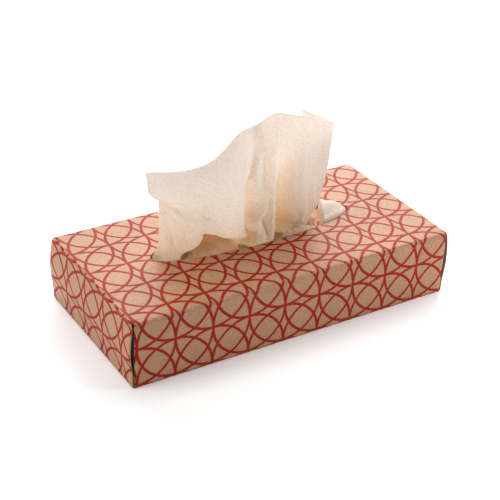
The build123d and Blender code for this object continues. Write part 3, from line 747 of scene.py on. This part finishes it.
sheetSize = {"width": 208.0, "ply": 0.22}
standing = {
    # how far along the sheet's width each column of points stands, in mm
    "columns": [0, 12, 25, 38, 51, 64, 76, 88, 99, 107, 114, 121, 127, 134, 142, 152, 163, 174, 184, 195, 208],
    # points in mm, left to right, from the free edge down into the slot
    "net": [
        [(-90, -24, 121.5), (-80.5, -21, 118.5), (-70, -17, 114), (-59, -13.5, 111), (-48, -11, 109.5),
         (-37.5, -9, 110.5), (-27.5, -7, 115), (-16.5, -4, 122), (-7, 0, 122), (0, 2.5, 121.5),
         (4, 1, 124.5), (6.5, -3, 129), (8.5, -6.5, 131.5), (12, -10, 132), (16.5, -12.5, 131),
         (25.5, -13, 128), (36.5, -12.5, 123.5), (50, -10, 117.5), (52.5, -1, 115), (47, 6, 117.5),
         (39.5, 10, 120.5)],
        [(-88, -23, 113.5), (-80.5, -21.5, 111), (-70.5, -19, 106.5), (-60, -16.5, 103), (-49, -15, 101),
         (-39, -13.5, 101.5), (-30, -12.5, 104), (-20, -10, 109.5), (-11.5, -6.5, 109.5),
         (-4.5, -2.5, 108), (1, -2.5, 109), (6, -5, 111), (8.5, -8, 113), (14.5, -9, 113),
         (19.5, -11, 112.5), (27, -12.5, 111), (37, -12.5, 108), (49, -10, 103), (52.5, 0, 99),
         (48.5, 8, 99), (41, 12, 102)],
        [(-86, -22, 105.5), (-78, -20.5, 101), (-68, -18.5, 95.5), (-58, -17, 90.5), (-47.5, -16, 87.5),
         (-39.5, -16, 87.5), (-30.5, -15.5, 89), (-22, -13.5, 90.5), (-14.5, -11, 89.5), (-9, -4.5, 88),
         (-4.5, -8.8, 90.5), (3.5, -3.5, 91), (8, -9, 93), (16, -3.5, 90.5), (23, -8, 91.5),
         (28.5, -11.5, 91.5), (36.5, -12, 90), (47.5, -9.5, 85.5), (51.5, 1, 80.5), (48, 9, 80.5),
         (40.5, 12, 84)],
        [(-76, -13, 95.5), (-68.5, -10.5, 89), (-60, -10, 83), (-52, -11, 79.5), (-44.5, -13, 76.5),
         (-38.5, -15.5, 75), (-31, -16, 74), (-22.5, -14.5, 73), (-15, -12, 72), (-8, -4, 70.5),
         (2, -11.5, 72.5), (4.5, -4, 72.5), (8.5, -10.5, 74), (18, 1, 72), (24.5, -5, 72), (30, -10, 73),
         (36, -11, 72.5), (45.5, -8, 69), (49.5, 2, 66), (46, 9.5, 66), (40.5, 12.5, 68.5)],
        [(-72.5, -8, 84), (-66.5, -8, 79), (-59, -8.5, 74), (-51.5, -10, 70.5), (-45, -12, 68.5),
         (-39.5, -14, 65.5), (-32, -14, 60.5), (-22.5, -13, 55), (-14, -12, 55), (-10, -4, 58),
         (-4, -12, 61), (4, -3, 59.5), (8, -11.5, 61), (19, 3, 60), (25, -3.5, 59.5), (30.5, -8.5, 60),
         (35, -9.5, 60), (43.5, -7, 58), (46.5, 3, 58), (44, 10, 58.5), (38.5, 13.5, 60)],
        [(-68.5, -0.5, 60), (-63.5, -3.5, 57), (-57, -6, 55), (-49.5, -6.5, 52.5), (-42.5, -4.5, 52),
         (-40, 1.5, 55), (-32, 2.5, 53.5), (-21, 0, 51.5), (-11, -8, 50), (-5.5, -3, 51), (-2, -10.5, 53),
         (4, -8, 52), (8, -12, 53), (18.5, 3, 52), (24.5, -1.5, 52), (29, -7, 52.5), (33.5, -8.5, 53),
         (41, -6, 52.5), (43.5, 3.5, 52), (41, 9.5, 52.5), (35, 13, 53)],
        [(-65.5, 8.2, 46.6), (-69.3, 3.0, 47.4), (-60.5, -2.5, 47), (-56, -3.5, 46.5), (-51.5, -0.5, 46.5),
         (-43, 8, 48), (-33, 11.5, 48), (-21, 10.5, 47), (-10.5, -1, 46.5), (-5, 1, 46.5), (-2, -11, 47),
         (4, -10.5, 47), (7.5, -12.3, 47), (16.5, 0, 46.5), (20.5, 4, 46.5), (25.5, 0, 46.5),
         (30.5, -5.5, 46.5), (36, -6.5, 46.5), (39.5, -2, 46.5), (41, 4.5, 46.5), (42, 11, 46.5)],
        [(-65.5, 8.5, 42), (-70.3, 4.0, 42), (-61, -2, 42), (-57.5, -3, 42), (-53, 0, 42), (-45, 8, 42),
         (-34, 11.5, 42), (-21, 10.5, 42), (-12, 2, 42), (-6, 0, 42), (-2, -9.5, 42), (4, -9.5, 42),
         (8, -10.5, 42), (15, 0, 42), (19.5, 4, 42), (24.5, 1, 42), (30, -4, 42), (35, -5.5, 42),
         (38.5, -2, 42), (40.5, 4.5, 42), (42, 11, 42)],
    ],
    "netSteps": [8, 9, 10, 10, 9, 8, 6],     # rows of mesh between the rows of points
    "columnPitch": 1.5,
    # how it turns back under the slot, runs to its fold at the back of the pile and returns as its tail
    "turnHeight": 39.3, "turnLean": 1.0, "turnOut": 3.0, "returnHeight": 37.75, "foldFront": 49.0,
    "foldBack": 50.0, "tailMiddle": 22.0, "tailFront": -6.0, "tailHeight": 36.85,
    "drawnInShares": (0.06, 0.25, 0.6, 1.0), "drawnInPower": 3, "tailSteps": [3, 3, 5, 8, 8, 2, 2, 6, 6],
    # random dents that the relaxing turns into wrinkles: share, spacing in points, seed
    "dents": ((1.0, (11, 9), 3), (0.5, (5, 4), 5)), "wrinkle": 0.45, "smoothRows": 4, "fadeRows": 10,
    "relax": {"rounds": 60, "across": 0.5, "along": 0.8, "shear": 0.35, "bending": 0.03,
              "flatShare": 0.02},
    "slackShare": 0.95, "hold": 0.06, "footHold": 0.6, "footRows": 6,
    # where painted shade shows: near the slot, in hollows below a height, and more in those at the foot
    "shadeHeight": 78.0, "shadeRun": 32.0, "footShade": 0.75, "hollowTop": 104.0, "hollowRun": 34.0,
    "footHollow": 1.3, "footTop": 58.0, "footRun": 8.0,
    # soft creases pressed into the sheet: depth and width in mm, then points across and along it
    "creases": [
        (-1.3, 2.6, [(0, 47), (12, 43), (24, 40), (39, 38.5), (54, 37)]),
        (0.8, 2.6, [(0, 42), (12, 38.5), (24, 36), (39, 35), (54, 34)]),
        (-0.7, 1.9, [(9, 52), (24, 49.5), (37, 48), (61, 49.5), (76, 54.5)]),
        (-0.9, 2.2, [(3, 55), (12, 59), (18, 61), (31, 66)]),
        (0.6, 1.9, [(8, 48), (20, 55), (34, 60), (44, 62)]),
        (0.35, 2.2, [(3, 17), (28, 23), (50, 27), (74, 33)]),
        (1.1, 2.2, [(102, 23), (114, 36), (122, 46), (116, 56), (113, 61)]),
        (-0.5, 2.4, [(60, 38), (72, 48), (84, 60)]),
        (0.4, 2.6, [(152, 18), (150, 40), (158, 66)]),
        (-0.4, 2.4, [(176, 14), (168, 40), (172, 66)]),
        (0.5, 2.0, [(172, 78), (160, 72), (150, 76)]),
        (-0.8, 1.6, [(4, 62), (16, 68), (27, 74), (40, 77)]),
        (0.6, 1.5, [(6, 67), (17, 73), (28, 79)]),
        (-0.6, 1.5, [(14, 44), (26, 52), (32, 62), (36, 72)]),
        (0.6, 1.4, [(30, 46), (41, 55), (50, 64), (57, 70)]),
        (-0.5, 1.4, [(44, 44), (56, 53), (70, 60), (80, 68)]),
        (-1.0, 1.5, [(108, 52), (112, 62), (110, 72)]),
        (0.7, 1.3, [(117, 60), (119, 70), (116, 80)]),
        (-0.7, 1.5, [(148, 62), (156, 70), (158, 82)]),
    ],
}


def standingSheet():
    s, size = standing, sheetSize
    net = np.array(s["net"], float)
    widths = np.array(s["columns"], float)
    flatX = widths - size["width"] / 2
    foot = net[-1]
    rows = [foot + (0, s["turnLean"], 0)]
    rows[0][:, 2] = s["turnHeight"]
    for reach in s["drawnInShares"]:
        row = foot.copy()
        row[:, 0] += (flatX - foot[:, 0]) * reach ** s["drawnInPower"]
        row[:, 1] = foot[:, 1] + s["turnOut"] + (s["foldFront"] - foot[:, 1] - s["turnOut"]) * reach
        row[:, 2] = s["returnHeight"]
        rows.append(row)
    for y, z in ((s["foldBack"], (s["returnHeight"] + s["tailHeight"]) / 2), (s["foldFront"], s["tailHeight"]),
                 (s["tailMiddle"], s["tailHeight"]), (s["tailFront"], s["tailHeight"])):
        rows.append(np.stack([flatX, np.full_like(flatX, y), np.full_like(flatX, z)], 1))
    net = np.concatenate([net, rows])
    perColumn = [max(2, round(gap / s["columnPitch"])) for gap in np.diff(widths)]
    grid = smoothThrough(net, s["netSteps"] + s["tailSteps"])
    grid = smoothThrough(grid.transpose(1, 0, 2), perColumn).transpose(1, 0, 2)
    across = [np.linspace(a, b, n + 1)[1:] for a, b, n in zip(widths, widths[1:], perColumn)]
    across = np.concatenate([[0], *across])
    lengths = np.median(np.linalg.norm(np.diff(grid, axis=0), axis=2), axis=1)
    along = np.concatenate([[0], np.cumsum(lengths)])
    stood = sum(s["netSteps"])
    dents = noiseSum(grid.shape[:2], s["dents"])
    fade = np.clip((stood - s["smoothRows"] - np.arange(grid.shape[0])) / s["fadeRows"], 0, 1)[:, None]
    grid = grid + gridNormals(grid) * (dents * fade * s["wrinkle"])[..., None]
    hold = np.full((grid.shape[0], 1, 1), s["hold"])
    hold[stood - s["footRows"]:] = s["footHold"]
    hold[stood:] = 1.0
    grid = relaxSheet(grid, np.diff(across) * s["slackShare"], lengths, hold, s["relax"])
    grid = creased(grid, across, along, s["creases"])
    # painted shade: more the lower the sheet comes near the slot, and in its hollows
    z, hollow = grid[..., 2], hollowShade(grid)
    slotShade = np.clip((s["shadeHeight"] - z) / s["shadeRun"], 0, 1)
    inFold = hollow * np.clip((s["hollowTop"] - z) / s["hollowRun"], 0, 1)
    inFold = np.maximum(inFold, s["footShade"] * slotShade)
    inFold = inFold + s["footHollow"] * hollow * np.clip((s["footTop"] - z) / s["footRun"], 0, 1)
    return sheetPiece("standingTissue", grid, across, along, size["ply"], inFold, tissuePaper)


standingTissue = standingSheet()
print("standing sheet gathered")

lying = {
    # the gathers' outline that its back edge goes round, left to right, in mm
    "backEdge": [
        (-104, 12), (-81, 12), (-76.5, 12), (-71.3, 12), (-70.9, 3.2), (-69, 0.8), (-66, -1.5),
         (-63, -4.5), (-56, -6.3), (-50, -3.5), (-43, 3), (-35, 7.5), (-24, 7), (-15, -1), (-10.5, -10.5),
         (-5, -13.6), (3, -14), (10, -14), (17, -10), (24, -8), (30, -9.5), (38, -9.8), (43, -5),
         (44.8, 4), (46, 11), (56, 14), (82, 14), (104, 11)
    ],
    "columnPitch": 1.15, "rows": 64, "rowPower": 0.75, "frontEdge": -49.0, "frontFold": -49.9,
    "underRows": (50.0, 25.0, 0.0, -25.0), "underHeight": 36.62, "baseHeight": 37.0,
    "overTail": 0.55, "climbStart": -14.0, "climbEnd": -8.0,
    "frontRoll": {"x": -30, "y": -11.6, "left": 42, "right": 42, "front": 8, "behind": 9, "rise": 8.2},
    "rightRoll": {"x": 29, "y": -11.0, "left": 31, "right": 26, "front": 4.6, "behind": 6, "rise": 12.0},
    "leftPuff": {"x": -70.5, "y": 5, "left": 6, "right": 8, "front": 12, "behind": 14, "rise": 7.7},
    "acrossPower": 0.8, "backPower": 1.4,    # of these three: under 1 for a flat top with steep sides
    # the swelling behind the slot's front edge, under the overhang: how high at the edge and farther back
    "pocket": {"x": -31, "left": 30, "right": 21, "atEdge": 8.0, "behind": 13.0, "run": 10.0, "edgeRun": 2.0},
    # a stiff bulge that fills the slot's right end: its steep left side, where it starts to fall, how fast,
    # where its back reaches the slot's edge, and what rises beside it
    "curl": {"leftX": 52.9, "leftLean": 0.5, "leftRun": 1.3, "rise": 13.8, "fallStart": 56, "fallEnd": 90,
             "fallPower": 2.2, "frontRun": 1.4, "backRun": 1.8, "backOpen": 1.3, "backOpenX": 58,
             "backOpenRun": 6, "edgeShare": 0.73, "edgeRun": 12, "besideRise": 6.6, "besideX": 42,
             "besideRun": 5, "frontLead": 0.2, "backLead": 0.3},
    # crumples, sideways shifts and sharp folds: share, spacing in points, seed
    "crumples": ((1.0, (10, 8), 11), (0.7, (4, 4), 12)), "crumple": 0.9, "crumpleRun": 4.0,
    "shifts": ((0.7, (7, 7), 13),), "stiffOver": 8.0, "stiffCrumple": 0.35,
    "sharpFolds": ((1.0, (5, 4), 14),), "crush": 2.6, "crushFrom": 8, "crushRun": 6, "crushTo": 46,
    "crushEnd": 4,
    # where painted shade shows
    "shadeHeight": 47.0, "shadeRun": 6.0, "leastShade": 0.25,
    "leftShade": 0.95, "rightLessShade": 0.35, "lessShadeRun": 12, "shadeTo": 47, "shadeEnd": 3,
}


def hump(x, y, shape):
    # a soft swelling, with its own reach to each side
    u, v = x - shape["x"], y - shape["y"]
    u = np.clip(np.where(u < 0, u / shape["left"], u / shape["right"]), -1, 1)
    v = np.clip(np.where(v < 0, v / shape["front"], v / shape["behind"]), -1, 1)
    across, back = np.cos(np.pi / 2 * u) ** lying["acrossPower"], np.cos(np.pi / 2 * v) ** lying["backPower"]
    return shape["rise"] * across * back


def slotReach(x):
    # half the slot's opening across the box
    slot = slotSize
    return np.sqrt(np.clip(1 - ((x - slot["shiftX"]) / (slot["length"] / 2)) ** 2, 0, 1)) * slot["width"] / 2


def pocketRise(x, y):
    s = lying["pocket"]
    fromEdge = y - slotSize["shiftY"] + slotReach(x)
    u = np.clip(np.where(x < s["x"], (x - s["x"]) / s["left"], (x - s["x"]) / s["right"]), -1, 1)
    height = s["atEdge"] + (s["behind"] - s["atEdge"]) * eased(fromEdge / s["run"])
    return height * eased(fromEdge / s["edgeRun"] + 0.5) * (1 - u ** 4) ** 2


def curlRise(x, y):
    s = lying["curl"]
    reach, fromMiddle = slotReach(x), y - slotSize["shiftY"]
    left = eased((x - s["leftX"] - s["leftLean"] * y) / s["leftRun"] + 0.5)
    front = eased((fromMiddle + reach) / s["frontRun"] + s["frontLead"])
    opened = s["backOpen"] * eased((x - s["backOpenX"]) / s["backOpenRun"])
    back = eased((reach - fromMiddle) / s["backRun"] + s["backLead"] - opened)
    along = np.clip((x - s["fallStart"]) / (s["fallEnd"] - s["fallStart"]), 0, 1)
    share = s["edgeShare"] + (1 - s["edgeShare"]) * eased((fromMiddle + reach) / s["edgeRun"])
    top = s["rise"] * (1 - along ** s["fallPower"]) * share
    beside = eased((x - s["besideX"]) / s["besideRun"]) * (1 - left)
    return (top * left + s["besideRise"] * beside) * front * back, beside


def lyingSheet():
    s, size = lying, sheetSize
    half = size["width"] / 2
    columns = round(size["width"] / s["columnPitch"])
    xs = np.linspace(-half, half, columns + 1)
    edge = np.array(s["backEdge"], float)
    backY = np.interp(xs, edge[:, 0], edge[:, 1])
    share = (np.arange(s["rows"] + 1) / s["rows"]) ** s["rowPower"]
    y = s["frontEdge"] + (backY[None, :] - s["frontEdge"]) * share[:, None]
    x = np.repeat(xs[None, :], s["rows"] + 1, 0)
    stiff, beside = curlRise(x, y)
    rise = np.maximum.reduce([hump(x, y, s[k]) for k in ("frontRoll", "rightRoll", "leftPuff")])
    rise = np.maximum.reduce([rise, stiff, pocketRise(x, y)])
    folds = np.abs(noiseSum(x.shape, s["sharpFolds"])) - 0.5  # its troughs are sharp, as crumpled paper's are
    crushed = eased((x - s["crushFrom"]) / s["crushRun"]) * (1 - eased((x - s["crushTo"]) / s["crushEnd"]))
    lift = np.clip(rise / s["crumpleRun"], 0, 1) * np.where(stiff > s["stiffOver"], s["stiffCrumple"], 1.0)
    climb = eased((y - s["climbStart"]) / (s["climbEnd"] - s["climbStart"]))
    z = s["baseHeight"] + s["overTail"] * climb + rise
    z = z + (noiseSum(x.shape, s["crumples"]) * s["crumple"] + folds * crushed * s["crush"]) * lift
    x = x + noiseSum(x.shape, s["shifts"]) * lift
    upper = np.stack([x, y, z], 2)
    # the half under it, from the back to the fold at the front
    under = [(yy, s["underHeight"]) for yy in s["underRows"] + (s["frontEdge"],)]
    under += [(s["frontFold"], (s["underHeight"] + s["baseHeight"]) / 2)]
    under = [np.stack([xs, np.full_like(xs, yy), np.full_like(xs, zz)], 1) for yy, zz in under]
    grid = np.concatenate([np.array(under), upper])
    along = np.concatenate([[0], np.cumsum(np.median(np.linalg.norm(np.diff(grid, axis=0), axis=2), axis=1))])
    # painted shade: low down in the slot, more on the left, and on what rises beside the curl
    inFold = np.clip((s["shadeHeight"] - grid[..., 2]) / s["shadeRun"], s["leastShade"], 1)
    shaded = s["leftShade"] - s["rightLessShade"] * eased(x / s["lessShadeRun"])
    shaded = np.maximum(beside, shaded * (1 - eased((x - s["shadeTo"]) / s["shadeEnd"])))
    inFold[len(under):] = np.maximum(inFold[len(under):], shaded)
    return sheetPiece("nextTissue", grid, xs + half, along, size["ply"], inFold, lyingPaper)


nextTissue = lyingSheet()
print("next sheet laid")

pile = {
    "length": 208.0, "depth": 100.0, "bottom": 0.5, "top": 36.45, "sheets": 44, "bulge": 0.45,
    "leastProud": 0.3, "columns": 40, "perFold": 4, "paintedShadeShare": 0.6,
}


def pileOfTissues():
    # folded tissues pressed together: each fold stands a little proud of the side
    p, n = pile, pile["perFold"]
    pitch = (p["top"] - p["bottom"]) / p["sheets"]
    rng = np.random.default_rng(21)
    proud = rng.uniform(p["leastProud"], 1.0, (2, p["sheets"])) * p["bulge"]
    half = p["depth"] / 2 - p["bulge"]
    sides = []
    for bulges in proud:
        sides.append([(half + bulges[k] * math.sin(math.pi * j / n), p["bottom"] + pitch * (k + j / n))
                      for k in range(p["sheets"]) for j in range(n)] + [(half, p["top"])])
    outline = sides[0] + [(-y, z) for y, z in reversed(sides[1])]
    xs = np.linspace(-p["length"] / 2, p["length"] / 2, p["columns"] + 1)
    points, faces, n = [], [], len(outline)
    for c, x in enumerate(xs):
        points += [(x * mm, y * mm, z * mm) for y, z in outline]
        if c:
            a, b = (c - 1) * n, c * n
            faces += [(a + k, a + (k + 1) % n, b + (k + 1) % n, b + k) for k in range(n)]
    m = p["perFold"] * p["sheets"] + 1
    # the two ends
    for base, turned in ((0, False), (p["columns"] * n, True)):
        for k in range(m - 1):
            quad = (base + k, base + n - 1 - k, base + n - 2 - k, base + k + 1)
            faces.append(quad[::-1] if turned else quad)
    piece = newPiece("tissuePile", points, faces, [lyingPaper])
    co, _ = cornerPoints(piece.data)
    setUv(piece.data, "sheetMap", np.stack([co[:, 0] / mm, co[:, 1] / mm + co[:, 2] / mm], 1))
    # the whole pile gets one even share of painted shade
    warm = piece.data.attributes.new("inFold", "FLOAT", "POINT")
    warm.data.foreach_set("value", np.full(len(points), p["paintedShadeShare"], np.float32))
    return piece


tissuePile = pileOfTissues()
print("pile stacked")

# torn ties round the slot: sizes in metres, and the shares of them between which each nib's own lie
nibLook = {"count": 44, "width": 0.0009, "widthShares": (0.7, 1.25), "depth": 0.00055,
           "depthShares": (0.5, 1.3), "height": 0.0004, "seed": 4, "depthSeed": 17.0, "linePoints": 220}


def nibShape():
    # one torn tie of board: a flat tuft, wider at its root
    rng = np.random.default_rng(5)
    points = []
    ring = [(-0.5, 0), (-0.42, 0.45), (-0.22, 0.8), (-0.05, 1.0), (0.12, 0.82), (0.3, 0.7), (0.44, 0.35),
            (0.5, 0)]
    for z in (0.0, 1.0):
        for x, y in ring:
            points.append((x * (1 - 0.1 * z), y * (1 - 0.25 * z) + 0.06 * rng.normal() * (y > 0), z))
    n = len(ring)
    faces = [(k, k + 1, n + k + 1, n + k) for k in range(n - 1)]
    faces += [tuple(range(n))[::-1], tuple(range(n, 2 * n)), (n - 1, 0, n, 2 * n - 1)]
    return points, faces


def slotNibs():
    c, s = cartonSize, slotSize
    points, faces = nibShape()
    shape = newPiece("nibShape", points, faces, [rawEdge])
    line = bpy.data.curves.new("slotLine", "CURVE")
    line.dimensions = "3D"
    run = line.splines.new("POLY")
    turns = evenEllipse(s["length"] / 2, s["width"] / 2, nibLook["linePoints"])
    run.points.add(len(turns) - 1)
    for point, t in zip(run.points, turns):
        x = s["shiftX"] + s["length"] / 2 * math.cos(t)
        y = s["shiftY"] + s["width"] / 2 * math.sin(t)
        point.co = (x * mm, y * mm, (topHeight(x, y) - c["board"] + c["hairGap"]) * mm, 1)
    run.use_cyclic_u = True
    curve = bpy.data.objects.new("slotLine", line)
    bpy.context.scene.collection.objects.link(curve)
    host = newPiece("slotNibs", [(0, 0, 0)], [], [rawEdge])
    tree = bpy.data.node_groups.new("nibsAlongSlot", "GeometryNodeTree")
    sockets = {"Geometry": "Geometry", "Count": "Int", "Width": "Float", "Depth": "Float", "Height": "Float",
               "Seed": "Int"}
    for name, kind in sockets.items():
        tree.interface.new_socket(name, in_out="INPUT", socket_type="NodeSocket" + kind)
    tree.interface.new_socket("Geometry", in_out="OUTPUT", socket_type="NodeSocketGeometry")
    given = addNode(tree, "NodeGroupInput").outputs
    path = addNode(tree, "GeometryNodeObjectInfo", Object=curve).outputs["Geometry"]
    nib = addNode(tree, "GeometryNodeObjectInfo", Object=shape).outputs["Geometry"]
    spaced = addNode(tree, "GeometryNodeCurveToPoints", {"mode": "COUNT"}, Curve=path,
                     Count=given["Count"]).outputs
    turned = addNode(tree, "FunctionNodeAlignRotationToVector", {"axis": "X"},
                     Vector=spaced["Tangent"]).outputs[0]
    depthSeed = addNode(tree, "ShaderNodeMath", i0=given["Seed"], i1=nibLook["depthSeed"]).outputs[0]
    scales = []
    for name, spread, seed in (("Width", "widthShares", given["Seed"]), ("Depth", "depthShares", depthSeed)):
        low, high = nibLook[spread]
        chance = addNode(tree, "FunctionNodeRandomValue", {"data_type": "FLOAT"}, i2=low, i3=high,
                         Seed=seed).outputs[1]
        scales.append(addNode(tree, "ShaderNodeMath", {"operation": "MULTIPLY"}, i0=given[name],
                              i1=chance).outputs[0])
    size = addNode(tree, "ShaderNodeCombineXYZ", X=scales[0], Y=scales[1], Z=given["Height"]).outputs[0]
    placed = addNode(tree, "GeometryNodeInstanceOnPoints", Points=spaced["Points"], Instance=nib,
                     Rotation=turned, Scale=size).outputs[0]
    whole = addNode(tree, "GeometryNodeRealizeInstances", Geometry=placed).outputs[0]
    dressed = addNode(tree, "GeometryNodeSetMaterial", Geometry=whole, Material=rawEdge).outputs[0]
    addNode(tree, "NodeGroupOutput", i0=dressed)
    modifier = host.modifiers.new("nibs", "NODES")
    modifier.node_group = tree
    for item in tree.interface.items_tree:
        if item.in_out == "INPUT" and item.name != "Geometry":
            modifier[item.identifier] = nibLook[item.name.lower()]
    applyModifiers(host)
    bpy.data.objects.remove(shape)
    bpy.data.objects.remove(curve)
    return host


nibs = slotNibs()
print("slot's nibs torn", len(nibs.data.polygons))

view = {"azimuth": -32.836, "elevation": 30.463, "roll": 2.677, "focalPixels": 1267.98, "frame": 500,
        "eye": (-0.38404, -0.59255, 0.44891)}


def addCamera():
    az, el, roll = (math.radians(view[k]) for k in ("azimuth", "elevation", "roll"))
    backward = Vector((math.sin(az) * math.cos(el), -math.cos(az) * math.cos(el), math.sin(el)))
    forward = -backward
    right = forward.cross(Vector((0, 0, 1))).normalized()
    up = right.cross(forward)
    r = right * math.cos(roll) + up * math.sin(roll)
    u = up * math.cos(roll) - right * math.sin(roll)
    data = bpy.data.cameras.new("photoCamera")
    data.sensor_width = 36.0
    data.lens = view["focalPixels"] / view["frame"] * data.sensor_width
    data.clip_start, data.clip_end = 0.01, 80
    camera = bpy.data.objects.new("photoCamera", data)
    bpy.context.scene.collection.objects.link(camera)
    turned = Matrix((r, u, backward)).transposed().to_4x4()
    camera.matrix_world = Matrix.Translation(Vector(view["eye"])) @ turned
    bpy.context.scene.camera = camera


# soft boxes: two behind, whose sheen shows on the top panel, one above and three that fill
lights = {
    "backLeft": {"place": (0.20, 1.30, 0.90), "size": 0.9, "power": 18.0},
    "backRight": {"place": (1.15, 1.40, 0.80), "size": 1.0, "power": 23.5},
    "above": {"place": (0.80, 0.35, 1.20), "size": 0.8, "power": 9.0},
    "leftFill": {"place": (-0.90, 0.20, 1.10), "size": 0.9, "power": 8.5},
    "lowLeftFill": {"place": (-1.30, 0.06, 0.70), "size": 1.2, "power": 5.0},
    "rightFill": {"place": (0.42, -0.32, 0.24), "size": 0.3, "power": 1.4},
}
surround = {"world": 0.05, "floorGlow": 0.18, "floorHalf": 25.0, "aim": (0, 0, 0.05)}


def addLight(name, place, size, power):
    data = bpy.data.lights.new(name, "AREA")
    data.shape = "SQUARE"
    data.size = size
    data.energy = power
    lamp = bpy.data.objects.new(name, data)
    bpy.context.scene.collection.objects.link(lamp)
    lamp.location = place
    lamp.visible_camera = False
    lamp.rotation_euler = (Vector(surround["aim"]) - Vector(place)).to_track_quat("-Z", "Y").to_euler()


def addStage():
    world = bpy.data.worlds.new("studio")
    bpy.context.scene.world = world
    world.use_nodes = True
    background = world.node_tree.nodes["Background"].inputs
    background["Color"].default_value = (1, 1, 1, 1)
    background["Strength"].default_value = surround["world"]
    material, tree = newMaterial("whitePaperFloor")
    shader = addNode(tree, "ShaderNodeBsdfPrincipled", Base_Color=srgb("FAFAFA"), Roughness=0.9,
                     Emission_Color=(1, 1, 1, 1), Emission_Strength=surround["floorGlow"])
    addNode(tree, "ShaderNodeOutputMaterial", Surface=shader.outputs[0])
    h = surround["floorHalf"]
    floor = newPiece("floor", [(-h, -h, 0), (h, -h, 0), (h, h, 0), (-h, h, 0)], [(0, 1, 2, 3)], [material])
    for name, light in lights.items():
        addLight(name, **light)
    bpy.context.scene.view_settings.view_transform = "Standard"


addCamera()
addStage()
print("camera and light set")

for slotName, pieces in (("printed_kraft_board", (cartonBoard, endPlates, nibs)),
                         ("tissue_paper", (tissuePile, standingTissue, nextTissue))):
    for piece in pieces:
        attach(piece, "root")
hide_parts("carton")
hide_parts("tissue_stack")
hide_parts("pulled_tissue")
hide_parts("next_tissue")
